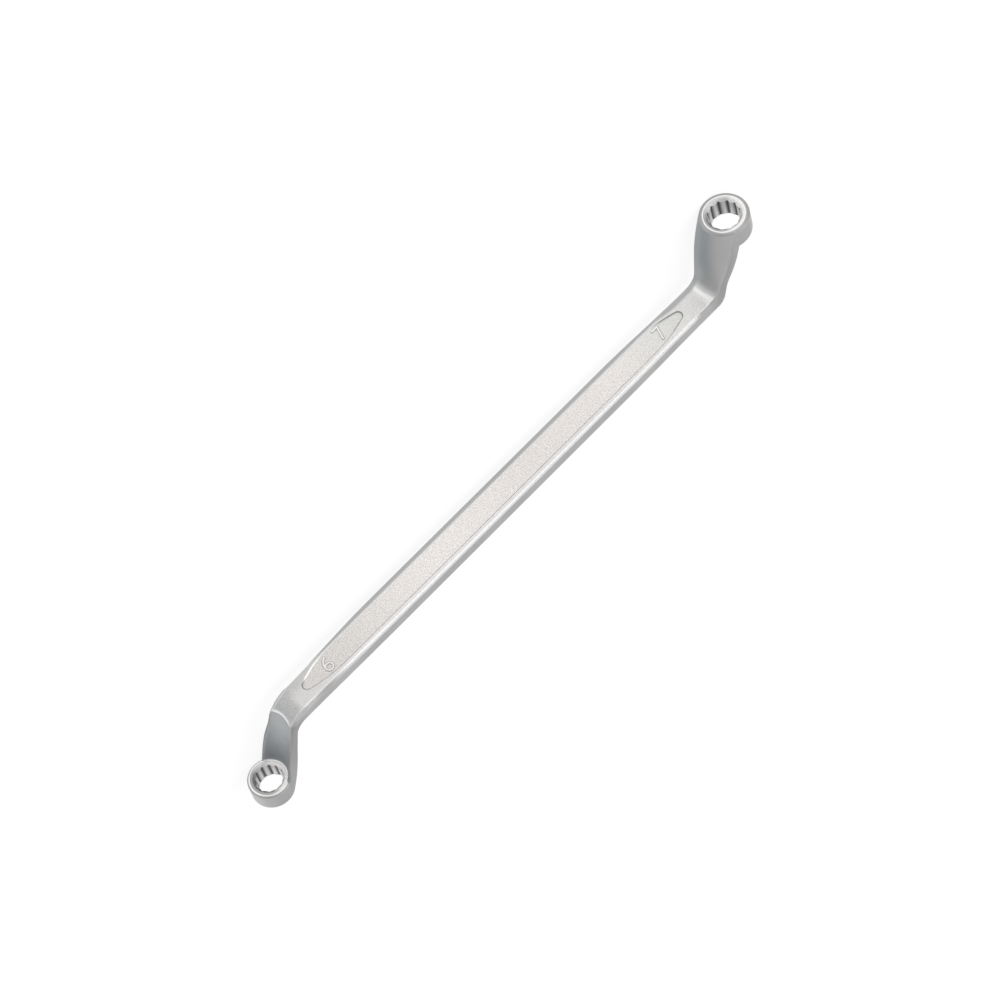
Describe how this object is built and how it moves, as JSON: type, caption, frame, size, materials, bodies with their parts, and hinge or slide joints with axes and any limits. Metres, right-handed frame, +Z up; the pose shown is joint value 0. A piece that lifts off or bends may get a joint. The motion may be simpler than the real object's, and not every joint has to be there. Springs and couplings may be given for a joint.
{
  "type": "ring spanner",
  "caption": "Slim ring spanner with a deeply cranked ring at each end, the rings facing opposite ways, for turning small hexagon screws and nuts.",
  "frame": {"origin": "under the middle of the part's box, on the floor that it lies on, with the spanner on its side", "axes": "+X along the shank towards the 6 mm end; +Y the way the 6 mm socket opens over its screw, the 7 mm one opens towards -Y; +Z up, across the shank's width"},
  "size_m": [0.1754, 0.0454, 0.0122],
  "materials": {
    "satin_chrome": "satin"
  },
  "bodies": {
    "root": {"spanner_body": "satin_chrome"}
  },
  "joints": []
}
